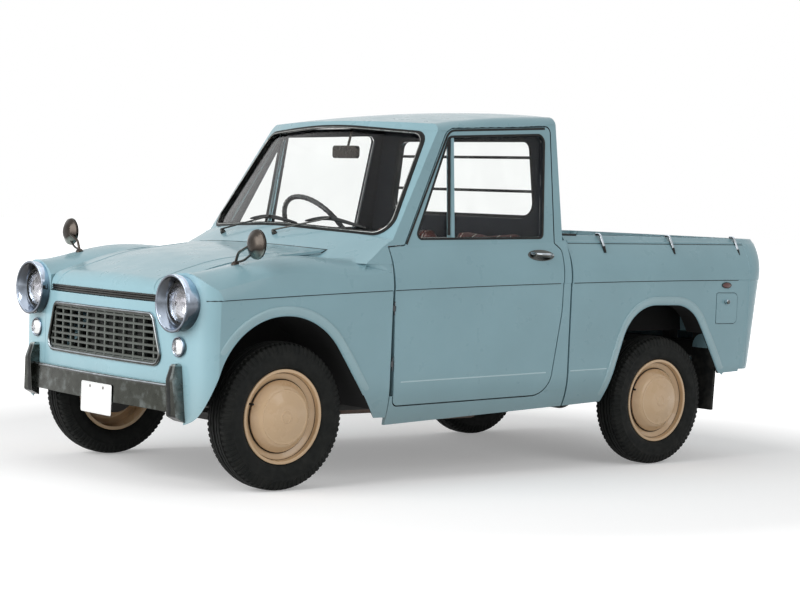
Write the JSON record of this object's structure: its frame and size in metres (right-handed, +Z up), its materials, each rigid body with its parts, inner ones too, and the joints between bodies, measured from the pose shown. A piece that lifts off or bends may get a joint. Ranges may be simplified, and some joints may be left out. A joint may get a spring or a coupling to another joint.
{
  "type": "kei pickup truck",
  "caption": "Small bonneted pickup truck with a two-seat cab, opening doors, bonnet, tailgate and fuel flap, steered front wheels and rolling wheels.",
  "frame": {"origin": "on the ground, at the middle of the truck's box in plan", "axes": "+Y towards the tail, +X towards the truck's left side, +Z up"},
  "size_m": [1.3658, 2.991, 1.4321],
  "materials": {
    "body_paint": "pale blue-green gloss enamel",
    "chassis_black": "satin black chassis paint",
    "bright_metal": "bright plated metal",
    "clear_glass": "clear glass",
    "black_rubber": "black moulded rubber",
    "dark_metal": "dark painted metal",
    "grille_grey": "dull grey anodised metal",
    "engine_iron": "dull cast iron",
    "exhaust_steel": "heat-dulled steel",
    "wheel_paint": "beige enamel",
    "tyre_rubber": "black tyre rubber",
    "seat_vinyl": "dark red-brown vinyl with white piping",
    "dark_trim": "dark moulded trim",
    "red_lens": "red moulded lens"
  },
  "bodies": {
    "root": {"bed_sides": "body_paint", "bed_tub": "body_paint", "cab_back_panel": "body_paint", "cab_controls": "dark_trim", "cab_floor": "body_paint", "cab_glass": "clear_glass", "chassis_frame": "chassis_black", "dashboard": "dark_trim", "engine": "engine_iron", "exhaust": "exhaust_steel", "front_axle": "chassis_black", "front_bumper": "bright_metal", "front_fenders": "body_paint", "front_lamp_lenses": "clear_glass", "front_lamp_rims": "bright_metal", "fuel_tank": "chassis_black", "grille": "grille_grey", "grille_surround": "bright_metal", "leaf_springs": "chassis_black", "mirrors": "bright_metal", "mud_flaps": "black_rubber", "nose_panel": "body_paint", "radiator": "dark_metal", "rear_axle": "chassis_black", "rear_lamps": "red_lens", "rear_panel": "body_paint", "rear_window_guard": "dark_metal", "roof_panel": "body_paint", "rope_hooks": "bright_metal", "seat_backs": "seat_vinyl", "seat_cushions": "seat_vinyl", "sills": "body_paint", "window_seals": "black_rubber", "windscreen_frame": "body_paint", "wipers": "dark_metal"},
    "left_door": {"door_left": "body_paint", "door_glass_left": "clear_glass", "door_handle_left": "bright_metal"},
    "right_door": {"door_right": "body_paint", "door_glass_right": "clear_glass", "door_handle_right": "bright_metal"},
    "bonnet": {"bonnet": "body_paint"},
    "tailgate": {"tailgate": "body_paint"},
    "fuel_flap": {"fuel_flap": "body_paint"},
    "left_knuckle": {"knuckle_left": "chassis_black"},
    "right_knuckle": {"knuckle_right": "chassis_black"},
    "tie_rod": {"tie_rod": "chassis_black"},
    "steering_wheel": {"steering_wheel": "dark_trim"},
    "front_left_wheel": {"front_left_wheel": "wheel_paint", "front_left_tyre": "tyre_rubber"},
    "front_right_wheel": {"front_right_wheel": "wheel_paint", "front_right_tyre": "tyre_rubber"},
    "rear_left_wheel": {"rear_left_wheel": "wheel_paint", "rear_left_tyre": "tyre_rubber"},
    "rear_right_wheel": {"rear_right_wheel": "wheel_paint", "rear_right_tyre": "tyre_rubber"}
  },
  "joints": [
    {"name": "left_door_hinge", "type": "hinge", "parent": "root", "child": "left_door", "pos_m": [0.641, -0.6075, 0.6], "axis": [0, 0, -1], "range_deg": [0, 65]},
    {"name": "right_door_hinge", "type": "hinge", "parent": "root", "child": "right_door", "pos_m": [-0.641, -0.6075, 0.6], "axis": [0, 0, 1], "range_deg": [0, 65]},
    {"name": "bonnet_hinge", "type": "hinge", "parent": "root", "child": "bonnet", "pos_m": [0, -0.706, 0.85], "axis": [-1, 0, 0], "range_deg": [0, 50]},
    {"name": "tailgate_hinge", "type": "hinge", "parent": "root", "child": "tailgate", "pos_m": [0, 1.45433, 0.5875], "axis": [-1, 0, 0], "range_deg": [0, 90]},
    {"name": "fuel_flap_hinge", "type": "hinge", "parent": "root", "child": "fuel_flap", "pos_m": [0.639, 1.174, 0.654], "axis": [0, 0, -1], "range_deg": [0, 90]},
    {"name": "left_steer", "type": "hinge", "parent": "root", "child": "left_knuckle", "pos_m": [0.485, -1.075, 0.267], "axis": [0, 0, 1], "range_deg": [-28, 28]},
    {"name": "right_steer", "type": "hinge", "parent": "root", "child": "right_knuckle", "pos_m": [-0.485, -1.075, 0.267], "axis": [0, 0, 1], "range_deg": [-28, 28]},
    {"name": "tie_rod_end", "type": "hinge", "parent": "left_knuckle", "child": "tie_rod", "pos_m": [0.485, -0.945, 0.233], "axis": [0, 0, 1], "range_deg": [-28, 28]},
    {"name": "steering_wheel_turn", "type": "hinge", "parent": "root", "child": "steering_wheel", "pos_m": [-0.25, -0.285, 0.895], "axis": [0, 0.8189, 0.5739], "range_deg": [-421, 421]},
    {"name": "front_left_roll", "type": "hinge", "parent": "left_knuckle", "child": "front_left_wheel", "pos_m": [0.557, -1.075, 0.267], "axis": [1, 0, 0], "continuous": true},
    {"name": "front_right_roll", "type": "hinge", "parent": "right_knuckle", "child": "front_right_wheel", "pos_m": [-0.557, -1.075, 0.267], "axis": [1, 0, 0], "continuous": true},
    {"name": "rear_left_roll", "type": "hinge", "parent": "root", "child": "rear_left_wheel", "pos_m": [0.557, 0.865, 0.267], "axis": [1, 0, 0], "continuous": true},
    {"name": "rear_right_roll", "type": "hinge", "parent": "root", "child": "rear_right_wheel", "pos_m": [-0.557, 0.865, 0.267], "axis": [1, 0, 0], "continuous": true}
  ],
  "couplings": [
    {"joint": "right_steer", "follows": "left_steer", "ratio": 1},
    {"joint": "tie_rod_end", "follows": "left_steer", "ratio": -1},
    {"joint": "steering_wheel_turn", "follows": "left_steer", "ratio": 15}
  ]
}
